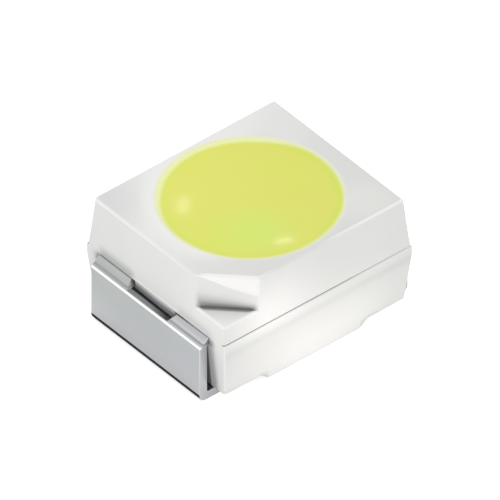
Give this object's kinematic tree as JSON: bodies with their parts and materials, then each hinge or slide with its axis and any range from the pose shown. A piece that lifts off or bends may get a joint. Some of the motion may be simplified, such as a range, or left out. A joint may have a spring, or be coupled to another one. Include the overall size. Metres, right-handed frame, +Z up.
{
  "type": "surface-mount led",
  "caption": "White moulded top-view surface-mount LED with bent solder leads, a notched cathode corner and a round cup filled with yellow phosphor.",
  "frame": {"origin": "middle of the footprint, level with the undersides of the solder feet", "axes": "+X along the length from the cathode end, which has the notched corner, to the anode end; +Y across the width, away from the notched corner; +Z up, out of the cup"},
  "size_m": [0.0036, 0.0028, 0.0019],
  "materials": {
    "housing_plastic": "white heat-resistant moulding, satin",
    "lead_metal": "plated copper alloy strip, satin bright",
    "chip": "sawn crystal chip",
    "adhesive": "cured clear adhesive",
    "gold_wire": "drawn gold wire",
    "phosphor": "glossy silicone filled with yellow phosphor"
  },
  "bodies": {
    "root": {"housing": "housing_plastic", "cathode_lead": "lead_metal", "anode_lead": "lead_metal", "led_die": "chip", "die_attach": "adhesive", "bond_wire_cathode": "gold_wire", "bond_wire_anode": "gold_wire", "encapsulant": "phosphor"}
  },
  "joints": []
}
